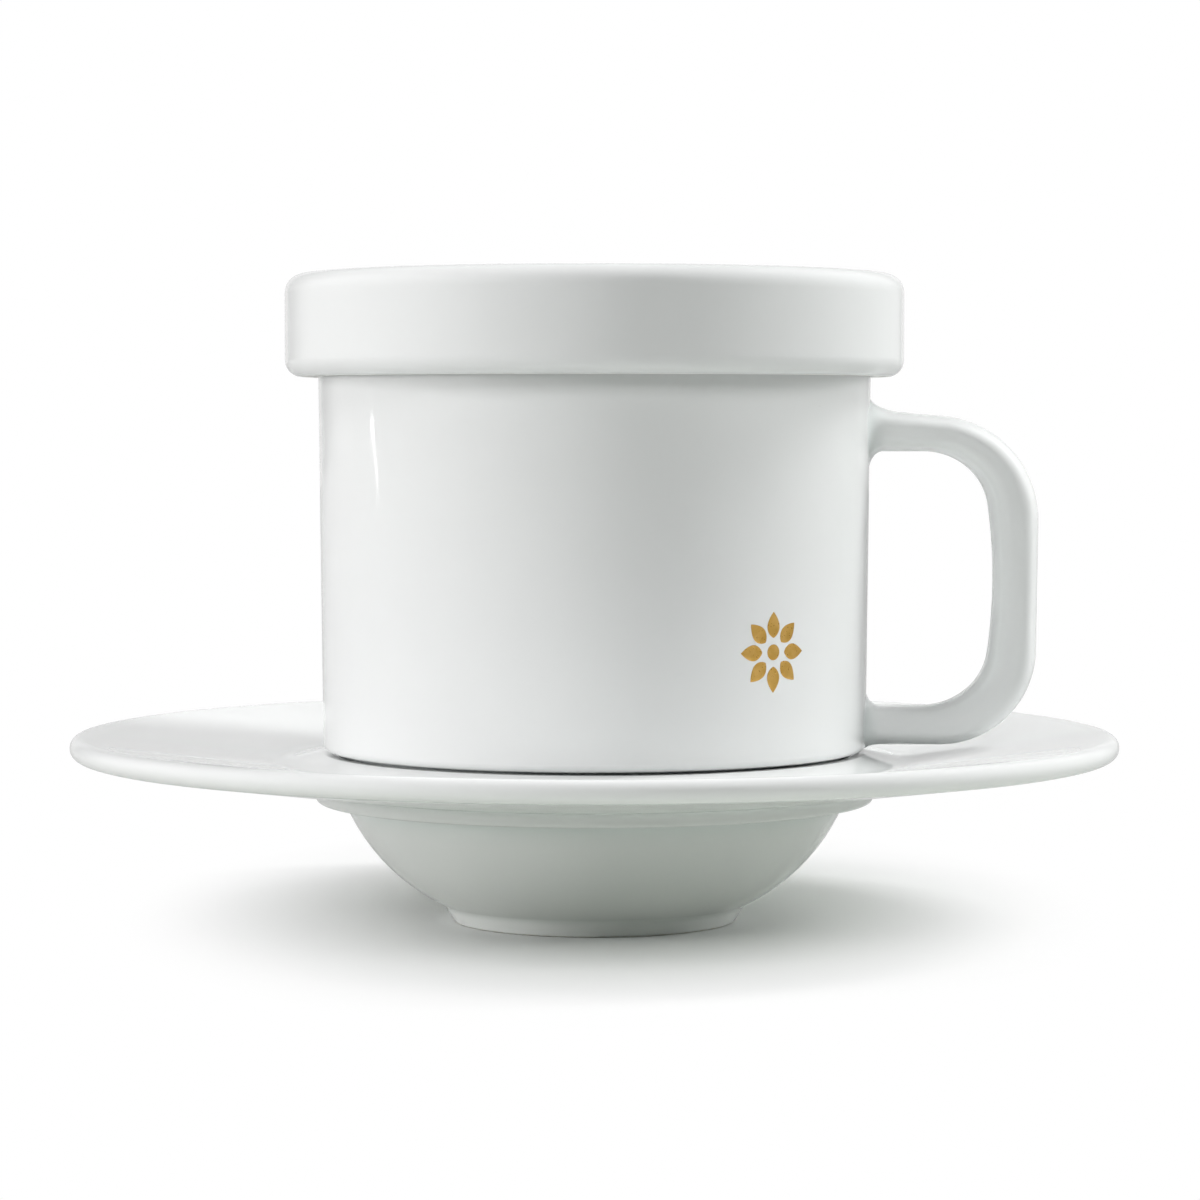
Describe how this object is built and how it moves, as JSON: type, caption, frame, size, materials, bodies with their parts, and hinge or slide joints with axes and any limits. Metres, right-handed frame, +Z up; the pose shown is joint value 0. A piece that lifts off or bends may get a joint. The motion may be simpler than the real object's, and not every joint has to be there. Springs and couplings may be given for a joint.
{
  "type": "lidded teacup with saucer",
  "caption": "White glazed porcelain teacup with a loop handle, a loose flat cap lid and a deep-bowled saucer whose collar seats the cup's foot.",
  "frame": {"origin": "on the axis of the saucer, at the table under its foot ring", "axes": "+Z up along the axis of saucer, cup and lid; +X towards the cup's handle; -Y is the side the picture shows"},
  "size_m": [0.1524, 0.1524, 0.0943],
  "materials": {
    "white_porcelain": "clear gloss glaze over white porcelain",
    "gilding": "burnished gilding fired over the glaze"
  },
  "bodies": {
    "saucer": {"saucer": "white_porcelain"},
    "cup": {"cup_body": "white_porcelain", "cup_handle": "white_porcelain", "gilt_rosette": "gilding"},
    "lid": {"lid": "white_porcelain"}
  },
  "joints": [
    {"name": "cup_lift", "type": "slide", "parent": "saucer", "child": "cup", "axis": [0, 0, 1], "range_m": [0, 0.12]},
    {"name": "lid_lift", "type": "slide", "parent": "cup", "child": "lid", "axis": [0, 0, 1], "range_m": [0, 0.12]}
  ]
}
